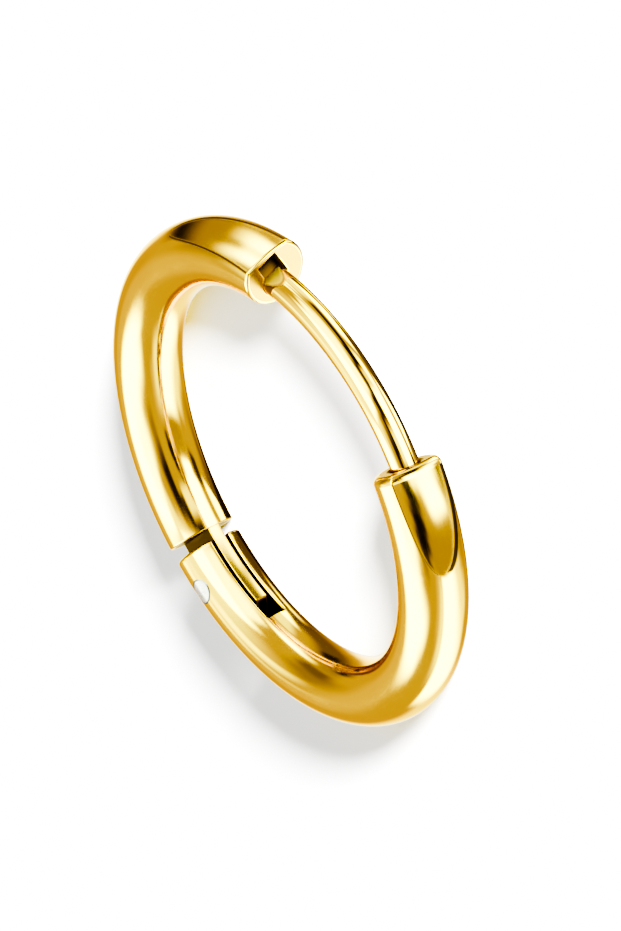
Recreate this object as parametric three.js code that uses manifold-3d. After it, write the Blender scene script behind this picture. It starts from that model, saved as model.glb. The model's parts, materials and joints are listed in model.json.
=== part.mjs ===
// A hinged hoop earring, lying flat: two halves of a round-stock hoop, a thin ear wire and a hinge pin.
//
// Millimetres. The hoop lies in the XY plane with +Z up, its lowest point at z = 0.
// Angles are measured about the hoop's centre from +X, counter-clockwise seen from above.
// The ear wire bridges the gap on the +Y side and the hinge is on the -Y side.
// The origin is the middle of the bounding box's base.

import * as THREE from 'three';
import { mergeVertices } from 'three/addons/utils/BufferGeometryUtils.js';
import Module from 'manifold-3d';

// ---- driving dimensions ------------------------------------------------------------------------

const INNER_DIAMETER = 12.0;          // the clear hole of the hoop
const STOCK_RADIUS = 1.05;            // the round stock of both halves
const WIRE_RADIUS = 0.45;             // the ear wire
const HOOP_RADIUS = INNER_DIAMETER / 2 + STOCK_RADIUS;

const WIRE_END = 60.5;                // degrees: end of the wire half that the ear wire grows from
const CATCH_END = 118.6;              // degrees: end of the catch half that takes the wire's tip
const CATCH_HINGE_END = 255.1;        // degrees: shoulder of the catch half at the hinge
const WIRE_HINGE_END = 258.3;         // degrees: ends of the fork's two cheeks
const END_CHAMFER = 0.16;             // the softened rim of each free end

const STRAIGHT_FROM = 161.1;          // degrees: from here to its free end the catch half is less bent
const STRAIGHT_RISE = 0.317;          // how far that leaves the free end outside the true circle

const FORK_GAP = 0.6;                 // clear width between the fork's cheeks
const FORK_FLOOR = 288.1;             // degrees: the bottom of the fork's slot
const TONGUE_THICKNESS = 0.4;
const TONGUE_TIP = 280.5;             // degrees
const TONGUE_REACH = 1.7;             // its tip is rounded about the pin to this radius

const PIN_ANGLE = 268.1;              // degrees
const PIN_RADIUS = 0.4;
const PIN_CIRCLE = 6.98;              // distance of the pin from the hoop's centre
const PIN_HALF_LENGTH = 0.93;         // the pin is finished just under the surface of the stock
const PIN_FIT = 0.03;                 // radial clearance of the pin in fork and tongue
const SWING_CLEARANCE = 0.03;         // between the fork's corners and the shoulder as they pass

// Each facet is ground on the outside of a half, next to its free end. It runs out along the hoop.
// tilt turns its middle from straight outwards towards +Z, and fullness above 1 deepens it early.
const WIRE_FACET = { endDepth: 0.45, length: 24.8, tilt: 5, fullness: 1.7 };
const CATCH_FACET = { endDepth: 0.35, length: 34.7, tilt: 28, fullness: 1 };

const WIRE_ROOT = 57.0;               // degrees: bottom of the blind hole that holds the wire
const WIRE_TIP = 120.4;               // degrees: the wire's tip, inside the catch half's socket
const WIRE_FIT = 0.03;                // clearance of the wire in its blind hole
const TIP_CHAMFER = 0.12;
const TIP_FLAT_DEPTH = 0.3;           // how much the flat takes off the tip
const TIP_FLAT_LENGTH = 0.95;

const SOCKET_WIDTH = 0.72;            // the rectangular socket in the catch half's end
const SOCKET_TOP = 0.6;               // from the stock's axis to the socket's outer wall
const SOCKET_BOTTOM = 0.3;            // from the stock's axis to its inner wall
const SOCKET_DEPTH = 0.55;
const SOCKET_BORE = 0.55;             // round relief around the wire, so that it swings in and out
const SOCKET_BORE_SHIFT = 0.07;       // the relief lies this much inside the wire's own circle

const STOCK_SIDES = 28;               // facets around the stock
const WIRE_SIDES = 18;
const STEP = 4;                       // degrees between sections along the hoop
const PIN_SIDES = 32;
const ROUND_SIDES = 96;               // facets around a large round cut about the pin
const OVERRUN = 2;                    // degrees that a cutter runs past the face that it cuts
const CUT_TOLERANCE = 0.003;          // edges shorter than this, left where solids are cut, are closed up

const WIDE = 4 * STOCK_RADIUS;         // wider than the stock, for cutters that go right through it

// ---- the hoop's own frame ----------------------------------------------------------------------

// The wire is thinner than the stock, so the box's middle isn't the hoop's centre.
const centreY = (HOOP_RADIUS + STOCK_RADIUS - (HOOP_RADIUS + WIRE_RADIUS)) / 2;
const hoopCentre = new THREE.Vector3(0, centreY, STOCK_RADIUS);

const rad = THREE.MathUtils.degToRad;
const arc = (millimetres) => THREE.MathUtils.radToDeg(millimetres / HOOP_RADIUS);

// A place at an angle round the hoop, out from its centre, and up from its middle plane.
function onHoop(angle, out, up) {
  return new THREE.Vector3(out * Math.cos(rad(angle)), out * Math.sin(rad(angle)), up).add(hoopCentre);
}

const pinAxis = onHoop(PIN_ANGLE, PIN_CIRCLE, 0);

// Distance of the stock's axis from the hoop's centre. The catch half's last stretch is straighter.
const trueCircle = () => HOOP_RADIUS;
function catchCircle(angle) {
  const along = Math.max(0, (STRAIGHT_FROM - angle) / (STRAIGHT_FROM - CATCH_END));
  return HOOP_RADIUS + STRAIGHT_RISE * along;
}

// ---- solids ------------------------------------------------------------------------------------

const wasm = await Module();
wasm.setup();

function solid(geometry) {
  const bare = geometry.clone();
  bare.deleteAttribute('normal');
  bare.deleteAttribute('uv');
  const merged = mergeVertices(bare, 1e-4);
  return new wasm.Manifold(new wasm.Mesh({
    numProp: 3,
    vertProperties: new Float32Array(merged.attributes.position.array),
    triVerts: new Uint32Array(merged.index.array),
    tolerance: CUT_TOLERANCE,
  }));
}

// Bends a geometry round the hoop. Its y is an angle in degrees, and its x and z are the outward and
// upward distances from the stock's axis.
function bend(geometry, circle) {
  const position = geometry.attributes.position;
  for (let i = 0; i < position.count; i += 1) {
    const angle = position.getY(i);
    const place = onHoop(angle, circle(angle) + position.getX(i), position.getZ(i));
    position.setXYZ(i, place.x, place.y, place.z);
  }
  return geometry;
}

// Round stock from one angle to another, with a chamfered rim at either end.
function bentRod(radius, from, to, sides, [chamferFrom, chamferTo] = [0, 0], circle = trueCircle) {
  const profile = [new THREE.Vector2(0, from), new THREE.Vector2(radius - chamferFrom, from)];
  const start = from + arc(chamferFrom);
  const stop = to - arc(chamferTo);
  const steps = Math.max(1, Math.round((stop - start) / STEP));
  for (let i = 0; i <= steps; i += 1) {
    profile.push(new THREE.Vector2(radius, THREE.MathUtils.lerp(start, stop, i / steps)));
  }
  profile.push(new THREE.Vector2(radius - chamferTo, to), new THREE.Vector2(0, to));
  const distinct = profile.filter((point, i) => i === 0 || !point.equals(profile[i - 1]));
  return solid(bend(new THREE.LatheGeometry(distinct, sides), circle));
}

// A bar bent round the hoop. Across it, v runs along the face and w stands out of it, and the bar is
// turned by tilt about the stock's axis. base gives w of the bar's inner face at an angle.
function bentBar(from, to, halfWidth, base, top, tilt, circle = trueCircle) {
  const steps = Math.max(1, Math.round(Math.abs(to - from) / STEP));
  const bar = new THREE.BoxGeometry(1, 1, 1, 1, steps, 1);
  const position = bar.attributes.position;
  const turn = rad(tilt);
  for (let i = 0; i < position.count; i += 1) {
    const angle = THREE.MathUtils.lerp(from, to, position.getY(i) + 0.5);
    const w = position.getX(i) < 0 ? base(angle) : top;
    const v = position.getZ(i) * 2 * halfWidth;
    const out = w * Math.cos(turn) - v * Math.sin(turn);
    const up = w * Math.sin(turn) + v * Math.cos(turn);
    position.setXYZ(i, out, angle, up);
  }
  return solid(bend(bar, circle));
}

// A round bar along Z on the hinge's axis.
function hingeCylinder(radius, height = WIDE, sides = PIN_SIDES) {
  const cylinder = new THREE.CylinderGeometry(radius, radius, height, sides);
  cylinder.rotateX(Math.PI / 2);
  cylinder.translate(pinAxis.x, pinAxis.y, pinAxis.z);
  return solid(cylinder);
}

// What a facet takes away. run is +1 where the facet runs out towards larger angles.
function facetCut(facet, end, run, circle) {
  const floor = (angle) => {
    const fromEnd = Math.max(0, (angle - end) * run / facet.length);
    return STOCK_RADIUS - facet.endDepth * (1 - fromEnd ** facet.fullness);
  };
  const from = end - run * OVERRUN;
  const to = end + run * (facet.length + OVERRUN);
  return bentBar(Math.min(from, to), Math.max(from, to), STOCK_RADIUS, floor, 2 * STOCK_RADIUS,
    facet.tilt, circle);
}

// ---- the catch half ----------------------------------------------------------------------------

function catchHalf() {
  const stock = bentRod(STOCK_RADIUS, CATCH_END, TONGUE_TIP, STOCK_SIDES, [END_CHAMFER, 0],
    catchCircle);

  // The tongue is the stock itself, thinned between two flats and rounded about the pin at its tip.
  const beyondShoulder = bentBar(CATCH_HINGE_END, TONGUE_TIP + OVERRUN, WIDE, () => -WIDE, WIDE, 0);
  const tongue = bentBar(CATCH_HINGE_END - OVERRUN, TONGUE_TIP + 2 * OVERRUN, TONGUE_THICKNESS / 2,
    () => -1.2 * WIDE, 1.2 * WIDE, 0);
  const tipRound = hingeCylinder(TONGUE_REACH, WIDE * 3, ROUND_SIDES);

  const socket = bentBar(CATCH_END - OVERRUN, CATCH_END + arc(SOCKET_DEPTH), SOCKET_WIDTH / 2,
    () => -SOCKET_BOTTOM, SOCKET_TOP, CATCH_FACET.tilt, catchCircle);
  const relief = bentRod(SOCKET_BORE, CATCH_END - OVERRUN, CATCH_END + arc(SOCKET_DEPTH), WIRE_SIDES,
    [0, 0], () => HOOP_RADIUS - SOCKET_BORE_SHIFT);

  return stock
    .subtract(beyondShoulder.subtract(tongue.intersect(tipRound)))
    .subtract(facetCut(CATCH_FACET, CATCH_END, 1, catchCircle))
    .subtract(socket)
    .subtract(relief)
    .subtract(hingeCylinder(PIN_RADIUS + PIN_FIT));
}

// ---- the wire half -----------------------------------------------------------------------------

function wireHalf() {
  const stock = bentRod(STOCK_RADIUS, WIRE_HINGE_END - 360, WIRE_END, STOCK_SIDES, [0, END_CHAMFER]);
  const slot = bentBar(WIRE_HINGE_END - OVERRUN, FORK_FLOOR, FORK_GAP / 2, () => -WIDE, WIDE, 0);

  // The cheeks' corners are taken back to a circle about the pin that clears the other shoulder.
  const reach = PIN_CIRCLE * Math.sin(rad(PIN_ANGLE - CATCH_HINGE_END)) - SWING_CLEARANCE;
  const corners = bentBar(WIRE_HINGE_END - OVERRUN, PIN_ANGLE, WIDE, () => -WIDE, WIDE, 0)
    .subtract(hingeCylinder(reach, WIDE * 3, ROUND_SIDES));

  const blindHole = bentRod(WIRE_RADIUS + WIRE_FIT, WIRE_ROOT, WIRE_END + OVERRUN, WIRE_SIDES);
  return stock
    .subtract(slot)
    .subtract(corners)
    .subtract(hingeCylinder(PIN_RADIUS + PIN_FIT))
    .subtract(facetCut(WIRE_FACET, WIRE_END, -1, trueCircle))
    .subtract(blindHole);
}

// ---- the ear wire and the pin ------------------------------------------------------------------

function earWire() {
  const rod = bentRod(WIRE_RADIUS, WIRE_ROOT + arc(WIRE_FIT), WIRE_TIP, WIRE_SIDES, [0, TIP_CHAMFER]);
  const flatStart = WIRE_TIP - arc(TIP_FLAT_LENGTH);
  const slope = (angle) => WIRE_RADIUS - TIP_FLAT_DEPTH * (angle - flatStart) / (WIRE_TIP - flatStart);
  const flat = bentBar(flatStart - OVERRUN, WIRE_TIP + OVERRUN, WIRE_RADIUS, slope, 2 * WIRE_RADIUS,
    CATCH_FACET.tilt);
  return rod.subtract(flat);
}

function hingePin() {
  return hingeCylinder(PIN_RADIUS, 2 * PIN_HALF_LENGTH);
}

// ---- the assembly ------------------------------------------------------------------------------

function piece(name, body, material) {
  const { vertProperties, triVerts } = body.getMesh();
  const geometry = new THREE.BufferGeometry();
  geometry.setAttribute('position', new THREE.BufferAttribute(vertProperties, 3));
  geometry.setIndex(new THREE.BufferAttribute(triVerts, 1));
  geometry.computeVertexNormals();
  const mesh = new THREE.Mesh(geometry, material);
  mesh.name = name;
  return mesh;
}

const polishedGold = new THREE.MeshStandardMaterial({ color: 0xe0aa2a, roughness: 0.12, metalness: 1 });
const pinSteel = new THREE.MeshStandardMaterial({ color: 0xb9b6ac, roughness: 0.25, metalness: 1 });

const earring = new THREE.Group();
earring.add(piece('catch_half', catchHalf(), polishedGold));
earring.add(piece('wire_half', wireHalf(), polishedGold));
earring.add(piece('ear_wire', earWire(), polishedGold));
earring.add(piece('hinge_pin', hingePin(), pinSteel));

export default earring;
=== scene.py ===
# %% [markdown]
# # A hinged hoop earring
#
# The earring is one round golden rod bent into a ring. It is cut into two halves that
# turn on a small pin, and a thin ear wire grows from one half and snaps into the other.
# The CAD model fixes every size. This file makes the fine surfaces and the finishes.
# Everything below is worked out in millimetres and turned into metres at the very end.

# %% Load the CAD model as a fixed frame
import json
import math
import bpy
import numpy as np
from mathutils import Matrix, Vector


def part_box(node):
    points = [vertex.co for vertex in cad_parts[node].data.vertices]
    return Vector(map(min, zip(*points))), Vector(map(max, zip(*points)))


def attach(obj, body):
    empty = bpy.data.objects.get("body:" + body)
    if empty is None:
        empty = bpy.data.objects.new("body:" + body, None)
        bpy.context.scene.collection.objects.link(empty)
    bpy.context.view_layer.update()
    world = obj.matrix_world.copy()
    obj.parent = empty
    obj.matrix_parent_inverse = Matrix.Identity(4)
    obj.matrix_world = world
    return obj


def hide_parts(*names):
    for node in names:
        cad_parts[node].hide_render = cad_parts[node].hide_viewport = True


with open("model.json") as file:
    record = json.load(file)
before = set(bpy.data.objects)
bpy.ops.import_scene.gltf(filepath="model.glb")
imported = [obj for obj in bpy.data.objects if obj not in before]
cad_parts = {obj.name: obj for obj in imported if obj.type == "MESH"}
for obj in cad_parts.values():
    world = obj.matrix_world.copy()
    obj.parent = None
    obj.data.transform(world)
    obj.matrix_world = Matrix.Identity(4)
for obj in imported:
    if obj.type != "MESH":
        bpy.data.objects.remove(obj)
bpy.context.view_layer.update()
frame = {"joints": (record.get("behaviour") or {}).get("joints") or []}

# %% [markdown]
# ## The hoop's own coordinates
#
# A ring is awkward in x, y and z but easy in its own coordinates: the angle round the
# hoop, and inside the rod a direction and a distance from the rod's axis. Direction 0
# points away from the hoop's centre and 90 points up. The hinge pin's place comes from
# the CAD joint, and the hoop's centre follows from it.

# %% Main sizes and the hoop's centre
HOOP_RADIUS = 7.05          # centre of the hoop to the rod's axis
STOCK_RADIUS = 1.05         # half the rod's thickness
WIRE_RADIUS = 0.45          # half the ear wire's thickness
PIN_ANGLE, PIN_CIRCLE, PIN_RADIUS = 268.1, 6.98, 0.40

pin_x, pin_y, pin_z = [1000 * v for v in frame["joints"][0]["pos_m"]]
centre_x = pin_x - PIN_CIRCLE * math.cos(math.radians(PIN_ANGLE))
centre_y = pin_y - PIN_CIRCLE * math.sin(math.radians(PIN_ANGLE))
print("hoop centre, mm:", round(centre_x, 3), round(centre_y, 3), round(pin_z, 3))


def on_hoop(angle, radius, up):
    """Points at an angle in degrees round the hoop, a distance from its centre and a
    height above its middle plane: x = r cos a, y = r sin a, z = up, moved to the centre."""
    angle, radius, up = np.broadcast_arrays(np.radians(angle), radius, up)
    return np.stack([centre_x + radius * np.cos(angle), centre_y + radius * np.sin(angle),
                     pin_z + up], axis=-1)


def arc(length):
    """The angle in degrees that a length along the rod's axis spans."""
    return np.degrees(length / HOOP_RADIUS)


# %% [markdown]
# ## From a grid of points to a mesh
#
# Every piece is a grid: rows run along the rod and columns run round it. Neighbouring
# points make a four-sided face. Where a row shrinks to a single point the points are
# welded, so each piece is closed like the real solid metal. The normals are weighted by
# face area. A mirror finish shows the smallest error in them, and this weighting keeps a
# wide surface true right up to a narrow rounded edge.

# %% Grid faces, welding and normals
WELD_DIGITS = 6                # points that agree to so many digits of a millimetre are one


def grid_faces(rows, columns, closed=True, flip=False):
    """Corner numbers of the faces between neighbouring rows and columns. flip turns the
    faces over, for a grid whose rows and columns run the other way round."""
    row = np.arange(rows - 1)[:, None]
    col = np.arange(columns if closed else columns - 1)[None, :]
    nxt = (col + 1) % columns
    corners = np.stack(np.broadcast_arrays(row * columns + col, row * columns + nxt,
                                           (row + 1) * columns + nxt,
                                           (row + 1) * columns + col), axis=-1)
    corners = corners.reshape(-1, 4)
    return corners[:, ::-1] if flip else corners


def area_normals(mesh, loops, sides, count):
    """The normal at each vertex: the sum of face normal times face area, at length 1."""
    area = np.empty(len(sides))
    mesh.polygons.foreach_get("area", area)
    normal = np.empty(len(sides) * 3)
    mesh.polygons.foreach_get("normal", normal)
    weighted = np.repeat(normal.reshape(-1, 3) * area[:, None], sides, axis=0)
    total = np.zeros((count, 3))
    np.add.at(total, loops, weighted)
    return total / np.maximum(np.linalg.norm(total, axis=1, keepdims=True), 1e-30)


def build(name, points, faces, fields, corner_uv=None):
    """A mesh object from points in millimetres. Equal points are welded, a face that
    loses a corner becomes a triangle, and each normal is the area-weighted mean.
    fields has a number for each point, and corner_uv a pair for each face corner."""
    key = np.round(points, WELD_DIGITS)
    _, first, number = np.unique(key, axis=0, return_index=True, return_inverse=True)
    number = number.reshape(-1)
    faces = number[faces]
    keep = faces != np.roll(faces, -1, axis=1)
    whole = keep.sum(1) >= 3
    faces, keep = faces[whole], keep[whole]
    sides = keep.sum(1)
    loops = faces[keep]

    mesh = bpy.data.meshes.new(name)
    mesh.vertices.add(len(first))
    mesh.vertices.foreach_set("co", (points[first] * 0.001).astype(np.float32).ravel())
    mesh.loops.add(len(loops))
    mesh.loops.foreach_set("vertex_index", loops.astype(np.int32))
    mesh.polygons.add(len(sides))
    starts = np.concatenate([[0], np.cumsum(sides)[:-1]])
    mesh.polygons.foreach_set("loop_start", starts.astype(np.int32))
    mesh.polygons.foreach_set("loop_total", sides.astype(np.int32))
    mesh.update(calc_edges=True)
    if corner_uv is not None:
        layer = mesh.uv_layers.new(name="along_and_round")
        layer.data.foreach_set("uv", corner_uv[whole][keep].astype(np.float32).ravel())
    for field, values in fields.items():
        attribute = mesh.attributes.new(field, "FLOAT", "POINT")
        attribute.data.foreach_set("value", values[first].astype(np.float32))

    normals = area_normals(mesh, loops, sides, len(first))
    mesh.polygons.foreach_set("use_smooth", np.ones(len(sides), bool))
    mesh.normals_split_custom_set_from_vertices(normals.astype(np.float32))

    piece = bpy.data.objects.new(name, mesh)
    bpy.context.scene.collection.objects.link(piece)
    mesh.calc_loop_triangles()
    print(name, "has", len(mesh.loop_triangles), "triangles")
    return piece


def soft_min(a, b, sharpness=150.0):
    """The smaller of two lengths, with the corner where they cross rounded off:
    min(a, b) - ln(1 + exp(-s |a - b|)) / s."""
    return np.minimum(a, b) - np.log1p(np.exp(-sharpness * np.abs(a - b))) / sharpness


print("a soft corner lies", round(-float(soft_min(0, 0)), 4), "mm inside a sharp one")

# %% [markdown]
# ## The ground facets
#
# Next to each free end the rod has a long leaf-shaped facet, ground and then polished. A
# cut with a chord across the circle would be dead flat and mirror one spot only. The
# real one is slightly crowned, so it still shows bands of light along its length. Its
# section is therefore an arc of a larger circle.

# %% Section of the rod where it carries a facet
# end, length, tilt and settle are in degrees and depth and crown in millimetres. tilt is
# the direction of the facet's middle at the rod's end and at the facet's tip, the pair
# before settle says how fast the painted shade along the facet's edges fades on the lower
# and on the upper side, and between the two angles in settle the columns turn from the
# facet to the hinge.
WIRE_END, CATCH_END = 60.5, 118.6
WIRE_FACET = dict(end=WIRE_END, run=-1, length=24.8, depth=0.45, fullness=1.7,
                  tilt=(4.0, 13.0), crown=2.6, shade_widths=(7.0, 1.2), settle=(30.0, -66.0))
CATCH_FACET = dict(end=CATCH_END, run=1, length=34.7, depth=0.35, fullness=1.0,
                   tilt=(20.0, 33.0), crown=3.4, shade_widths=(4.0, 2.6), settle=(158.0, 250.0))
PAST_TIP = 1.7                 # shares of the length beyond this count as this


def facet_along(facet, angle):
    """Share of the facet's length from the rod's end: 0 at the end, 1 at its tip."""
    return np.maximum(0.0, (angle - facet["end"]) * facet["run"] / facet["length"])


def facet_depth(facet, angle):
    """How far the facet's edges lie under the rod's top: depth (1 - along^fullness). Past
    the tip this is negative, and the rod stays whole."""
    along = np.minimum(facet_along(facet, angle), PAST_TIP)
    return facet["depth"] * (1 - along ** facet["fullness"])


def facet_tilt(facet, angle):
    """Direction of the facet's middle, which turns a little from the end to the tip."""
    near_end, near_tip = facet["tilt"]
    return near_end + (near_tip - near_end) * np.minimum(facet_along(facet, angle), 1.0)


def facet_reach(facet, angle):
    """Half the angle that the facet takes of the rod's circle: arccos of 1 - depth / radius."""
    return np.degrees(np.arccos(np.clip(1 - facet_depth(facet, angle) / STOCK_RADIUS, 0, 1)))


def facet_radius(facet, angle, direction):
    """Distance from the rod's axis to the crowned facet: where a ray meets a circle of the
    crown's radius whose rim passes through both edges of the facet."""
    edge = STOCK_RADIUS - facet_depth(facet, angle)
    half = np.sqrt(np.maximum(STOCK_RADIUS ** 2 - edge ** 2, 0))
    middle = edge - np.sqrt(facet["crown"] ** 2 - half ** 2)
    turn = np.radians(direction - facet_tilt(facet, angle))
    return middle * np.cos(turn) + np.sqrt(facet["crown"] ** 2 - (middle * np.sin(turn)) ** 2)


def rod_radius(facet, angle, direction):
    """Radius of the rod with its facet: the smaller of the circle and the facet."""
    return soft_min(STOCK_RADIUS, facet_radius(facet, angle, direction))


print("facet reach at the free ends, degrees:",
      round(float(facet_reach(WIRE_FACET, WIRE_END)), 1),
      round(float(facet_reach(CATCH_FACET, CATCH_END)), 1))

# %% [markdown]
# ## Columns that follow the edges
#
# If the columns ran straight along the rod, the facet's curved edges would cross them
# and look like a staircase. So the columns spread between the facet's two edges, and
# crowd together beside them. Towards the hinge they settle on the corners of the tongue
# or of the fork instead.

# %% Directions of the columns
COLUMNS, FACET_COLUMNS = 200, 80
CROWDING = 0.55                # 0 spreads the columns evenly


def crowded(count):
    """Steps from 0 to 1, without the last, that are finer near both ends: a share of
    (1 - cos(pi s)) / 2 mixed with s itself."""
    even = np.arange(count) / count
    return (1 - CROWDING) * even + CROWDING * (1 - np.cos(np.pi * even)) / 2


def facet_columns(facet, angle):
    """Directions of the columns: the first 80 lie on the facet and the others beside it.
    They keep 8 degrees to either side of the middle where the facet is narrower."""
    reach = np.maximum(facet_reach(facet, angle), 8.0)
    tilt = facet_tilt(facet, angle)
    on_facet = tilt - reach + 2 * reach * crowded(FACET_COLUMNS)
    beside = tilt + reach + (360 - 2 * reach) * crowded(COLUMNS - FACET_COLUMNS)
    return np.concatenate([on_facet, beside])


def hinge_columns(corner, side):
    """Directions with columns exactly on four corners, at +-corner and 180 +- corner."""
    wide = COLUMNS // 2 - side
    return np.concatenate([-corner + 2 * corner * np.arange(side) / side,
                           corner + (180 - 2 * corner) * crowded(wide),
                           180 - corner + 2 * corner * np.arange(side) / side,
                           180 + corner + (180 - 2 * corner) * crowded(wide)])


def body_columns(facet, angle, at_hinge):
    """From the facet's columns to the hinge's, between the two angles in settle and with a
    smooth start and stop: 3 s^2 - 2 s^3."""
    start, stop = facet["settle"]
    share = np.clip((angle - start) / (stop - start), 0, 1)
    share = share * share * (3 - 2 * share)
    columns = facet_columns(facet, angle)
    return columns + (at_hinge - columns) * share


for facet in (WIRE_FACET, CATCH_FACET):
    gap = np.diff(facet_columns(facet, facet["end"]))
    print("columns at a free end are", round(float(gap.min()), 2), "to",
          round(float(gap.max()), 2), "degrees apart")

# %% [markdown]
# ## Rows along the rod
#
# Each row is a closed line round the rod: an angle round the hoop, a direction and a
# distance from the rod's axis for each column. A rounded rim is a quarter circle: as the
# row steps along by r (1 - sin t), its radius shrinks by r (1 - cos t).
#
# Each point also carries two numbers that the gold reads later. "worn" says how much skin
# and cloth have rubbed it. The recess value says how far it lies out of the polishing
# wheel's reach, which makes it rougher, and it also paints shade into the colour: darker
# end faces, brown in the socket and near black in slots, holes and along the facets'
# edges. A painted map could say the same, but fields on the mesh need no unwrapping and
# stay exactly on the edges that they belong to.

# %% Levels of the recess field
DEEP, DARK = 1.0, 0.95                     # painted shade: near black inside slots and holes, dark on their rims and along the facets' edges
SOCKET_SHADE_FLOOR, SOCKET_SHADE_WALL = 0.84, 0.81         # painted brown shade inside the socket
SHADE_STRIPE, SHADE_STRIPES = 0.06, 4.5      # stripes in that painted shade: how strong and how many
CATCH_FACE, WIRE_FACE = 0.66, 0.62         # satin end faces, their colour also darkened as painted shade
TONGUE_SATIN_SHADE = 0.45                        # the tongue's round sides: satin, and slightly darkened as painted shade
print("recess of end faces, film and slots:", CATCH_FACE, SOCKET_SHADE_WALL, DEEP)


# %% Collecting rows
class Rows:
    """Rows of a piece, kept as arrays of points with a wear and a recess value each. The
    recess value also sets painted shade.
    circle gives the axis's distance from the hoop's centre at an angle round the hoop."""

    def __init__(self, circle):
        self.circle, self.points, self.worn, self.recess = circle, [], [], []

    def add(self, angle, direction, radius, worn=0.0, recess=0.0):
        """One row. direction has one value for each column, and the others may be one
        number for the whole row."""
        turn = np.radians(direction)
        out, up = radius * np.cos(turn), radius * np.sin(turn)
        self.points.append(on_hoop(angle, self.circle(angle) + out, up))
        self.worn.append(np.broadcast_to(worn, turn.shape))
        self.recess.append(np.broadcast_to(recess, turn.shape))

    def mesh(self, name):
        """The rows as one closed piece. Its map counts millimetres along the rod and
        round it, so that drawn marks keep their scale."""
        points = np.stack(self.points)
        rows, columns = points.shape[:2]
        faces = grid_faces(rows, columns, flip=True)
        step = np.linalg.norm(np.diff(points, axis=0), axis=-1).mean(1)
        along = np.concatenate([[0], np.cumsum(step)])
        row, col = faces // columns, faces % columns
        wraps = (col.max(1) == columns - 1) & (col.min(1) == 0)
        col = np.where(wraps[:, None] & (col == 0), columns, col)
        uv = np.stack([along[row], 2 * np.pi * STOCK_RADIUS * col / columns], axis=-1)
        fields = {"worn": np.stack(self.worn).ravel(), "recess": np.stack(self.recess).ravel()}
        return build(name, points.reshape(-1, 3), faces, fields, uv)


def rim(start, stop, steps):
    """Parameter of a quarter circle, from one end to the other, in radians."""
    return np.linspace(start, stop, steps) * np.pi / 2


def facet_edge_shade(facet, angle, direction):
    """Painted shade along the facet's edges: 1 on the edge, falling away as
    exp(-(distance / width)^2) with a width for each side of the facet."""
    lower, upper = facet["shade_widths"]
    off = (direction - facet_tilt(facet, angle) + 180) % 360 - 180
    width = np.where(off < 0, lower, upper)
    near = np.exp(-((np.abs(off) - facet_reach(facet, angle)) / width) ** 2)
    return np.minimum(1.4 * near, 1.0) * (facet_depth(facet, angle) > 0.001)


# %% [markdown]
# ## The catch half
#
# It runs from the socket that takes the ear wire's tip, past the facet, to a flat tongue
# that sits between the fork's cheeks. One grid makes it all: it starts as a point on the
# socket's floor, comes out of the mouth, crosses the end face, rounds the rim, follows
# the rod, steps down to the tongue and closes at the tongue's tip.

# %% The catch half's sizes
STRAIGHT_FROM, STRAIGHT_RISE, STRAIGHT_SOFT = 161.1, 0.317, 0.16
SOCKET = dict(width=0.70, top=0.62, bottom=0.30, depth=0.55, tilt=28.0, bore=0.46, shift=-0.005)
MOUTH_ROUND, SHOULDER_ROUND, LIP_ROUND = 0.09, 0.05, 0.02
CATCH_SHOULDER, TONGUE_HALF, TONGUE_REACH = 255.1, 0.20, 1.70
TONGUE_SET_BACK = 0.004        # the tongue's round sides lie this far inside the shoulder's rim
TONGUE_CORNER, TONGUE_COLUMNS = 11.0, 20
ROW_STEP = 0.7                 # degrees between rows on a round body


def catch_circle(angle):
    """Distance of the catch half's axis from the hoop's centre. It leaves the true circle
    along a straight slope with a soft start: (x + sqrt(x^2 + k^2)) / 2."""
    x = (STRAIGHT_FROM - np.asarray(angle, float)) / (STRAIGHT_FROM - CATCH_END)
    full = (1 + math.sqrt(1 + STRAIGHT_SOFT ** 2)) / 2
    return HOOP_RADIUS + STRAIGHT_RISE * (x + np.sqrt(x ** 2 + STRAIGHT_SOFT ** 2)) / 2 / full


def socket_radius(direction, grow=0.0):
    """Outline of the socket's mouth: the farther of a rectangle, turned with the facet,
    and a round relief that lies on the wire's own line."""
    turn = np.radians(direction - SOCKET["tilt"])
    across = (SOCKET["width"] / 2 + grow) / np.maximum(np.abs(np.sin(turn)), 1e-9)
    reach = np.where(np.cos(turn) > 0, SOCKET["top"], SOCKET["bottom"]) + grow
    straight = reach / np.maximum(np.abs(np.cos(turn)), 1e-9)
    offset = -(STRAIGHT_RISE + SOCKET["shift"])
    plain = np.radians(direction)
    bore = SOCKET["bore"] + grow
    ring = offset * np.cos(plain) + np.sqrt(bore ** 2 - (offset * np.sin(plain)) ** 2)
    return np.maximum(soft_min(across, straight, 60.0), ring)


def about_pin(radius, reach):
    """Angle from the pin's direction at which a circle round the pin cuts a hoop circle,
    by the law of cosines."""
    cosine = (radius ** 2 + PIN_CIRCLE ** 2 - reach ** 2) / (2 * radius * PIN_CIRCLE)
    return np.degrees(np.arccos(np.clip(cosine, -1, 1)))


def tongue_radius(direction, inset=0.0):
    """The tongue's section: the rod's circle, cut by two flats above and below."""
    flat = (TONGUE_HALF - inset) / np.maximum(np.abs(np.sin(np.radians(direction))), 1e-9)
    round_side = STOCK_RADIUS - SHOULDER_ROUND - TONGUE_SET_BACK - inset
    return soft_min(flat, round_side, 90.0)


print("the free end stands", round(float(catch_circle(CATCH_END)) - HOOP_RADIUS, 3),
      "mm outside the true circle")


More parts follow.
